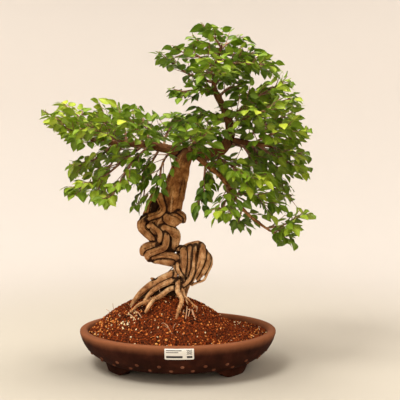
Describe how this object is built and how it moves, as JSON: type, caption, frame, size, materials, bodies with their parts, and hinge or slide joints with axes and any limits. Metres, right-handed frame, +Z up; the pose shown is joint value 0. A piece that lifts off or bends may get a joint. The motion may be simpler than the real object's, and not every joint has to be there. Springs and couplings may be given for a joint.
{
  "type": "potted korean hornbeam bonsai",
  "caption": "Small leafy tree on a knot of grown-together strands and exposed roots, planted in a mound of granular soil in an unglazed oval pot on bracket feet.",
  "frame": {"origin": "on the surface that the pot stands on, under the middle of the box round the whole plant", "axes": "+Z up, +X to the right and -Y towards the viewer, as seen from the tree's front, which is the side of the pot with the label"},
  "size_m": [0.4828, 0.2712, 0.5958],
  "materials": {
    "clay": "matte",
    "soil": "matte",
    "wood": "matte",
    "leaf": "satin",
    "screen": "matte",
    "wire": "satin",
    "label": "satin"
  },
  "bodies": {
    "root": {"pot": "clay", "label": "label", "drain_screen_1": "screen", "drain_screen_2": "screen", "soil": "soil", "trunk": "wood", "tie_wire": "wire", "spray_01": "leaf", "spray_02": "leaf", "spray_03": "leaf", "spray_04": "leaf", "spray_05": "leaf", "spray_06": "leaf", "spray_07": "leaf", "spray_08": "leaf", "spray_09": "leaf", "spray_10": "leaf", "spray_11": "leaf", "spray_12": "leaf", "spray_13": "leaf", "spray_14": "leaf", "spray_15": "leaf", "spray_16": "leaf", "spray_17": "leaf", "spray_18": "leaf", "spray_19": "leaf", "spray_20": "leaf", "spray_21": "leaf", "spray_22": "leaf", "spray_23": "leaf", "spray_24": "leaf", "spray_25": "leaf", "spray_26": "leaf", "spray_27": "leaf", "spray_28": "leaf", "spray_29": "leaf", "spray_30": "leaf", "spray_31": "leaf", "spray_32": "leaf", "spray_33": "leaf", "spray_34": "leaf", "spray_35": "leaf", "spray_36": "leaf", "spray_37": "leaf", "spray_38": "leaf", "spray_39": "leaf", "spray_40": "leaf", "spray_41": "leaf", "spray_42": "leaf", "spray_43": "leaf", "spray_44": "leaf", "spray_45": "leaf", "spray_46": "leaf", "spray_47": "leaf", "spray_48": "leaf", "spray_49": "leaf", "spray_50": "leaf", "spray_51": "leaf", "spray_52": "leaf"}
  },
  "joints": []
}
